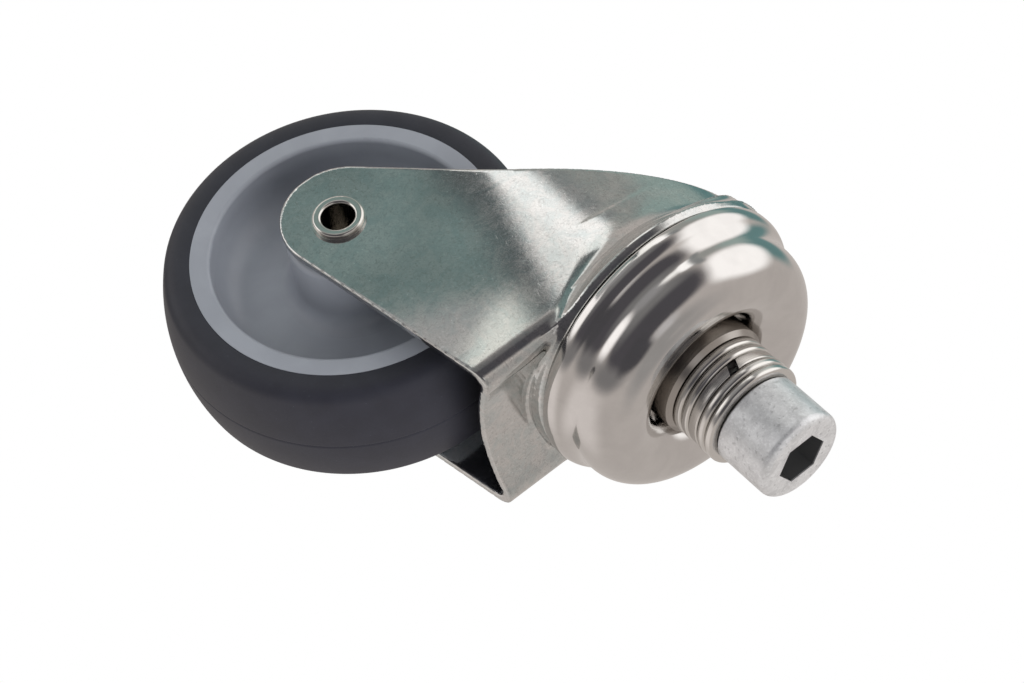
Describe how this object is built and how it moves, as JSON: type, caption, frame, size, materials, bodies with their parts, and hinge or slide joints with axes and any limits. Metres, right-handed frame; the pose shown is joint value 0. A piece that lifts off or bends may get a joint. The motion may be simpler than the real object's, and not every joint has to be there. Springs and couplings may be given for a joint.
{
  "type": "swivel castor",
  "caption": "Stainless swivel castor with a solid tyred wheel in a pressed fork, domed ball-bearing head and a cap screw for bolting to a frame.",
  "frame": {"origin": "middle of the collar's end face, where the castor seats against the frame that it carries", "axes": "+Z is the swivel axis, out of the castor through the screw; +X is the way the wheel trails at rest; +Y lies along the axle"},
  "size_m": [0.1025, 0.0592, 0.1266],
  "materials": {
    "tyre": "matt, fine moulding specks",
    "wheel_plastic": "satin grey polypropylene",
    "bush_plastic": "smooth dark acetal",
    "plain_steel": "plain turned stainless",
    "bright_steel": "bright rolled stainless",
    "pressed_steel": "tumbled pressed stainless, bright sheared edges",
    "polished_steel": "tumble-polished stainless",
    "turned_steel": "turned stainless",
    "washer_steel": "bright washer steel",
    "ball_steel": "polished balls",
    "seal_rubber": "plain black rubber",
    "zinc_flake": "dull mottled zinc-flake coating"
  },
  "bodies": {
    "head": {"swivel_housing": "polished_steel", "king_tube": "turned_steel", "upper_race": "plain_steel", "lower_race": "plain_steel", "retaining_washer": "plain_steel", "dust_seal": "seal_rubber", "flat_washer_1": "washer_steel", "flat_washer_2": "washer_steel", "flat_washer_3": "washer_steel", "flat_washer_4": "washer_steel", "lock_washer": "washer_steel", "cap_screw": "zinc_flake"},
    "ball_rows": {"upper_balls": "ball_steel", "lower_balls": "ball_steel"},
    "fork": {"fork": "pressed_steel", "axle_sleeve": "plain_steel", "axle_rivet": "bright_steel", "rivet_washer_left": "bright_steel", "rivet_washer_right": "bright_steel"},
    "wheel": {"tyre": "tyre", "wheel_centre": "wheel_plastic", "hub_bush_left": "bush_plastic", "hub_bush_right": "bush_plastic"}
  },
  "joints": [
    {"name": "swivel", "type": "hinge", "parent": "head", "child": "fork", "pos_m": [0, 0, 0], "axis": [0, 0, 1], "continuous": true},
    {"name": "roll", "type": "hinge", "parent": "fork", "child": "wheel", "pos_m": [0.0354, 0, -0.0658], "axis": [0, 1, 0], "continuous": true},
    {"name": "ball_orbit", "type": "hinge", "parent": "head", "child": "ball_rows", "pos_m": [0, 0, 0], "axis": [0, 0, 1], "continuous": true}
  ],
  "couplings": [
    {"joint": "ball_orbit", "follows": "swivel", "ratio": 0.5}
  ]
}
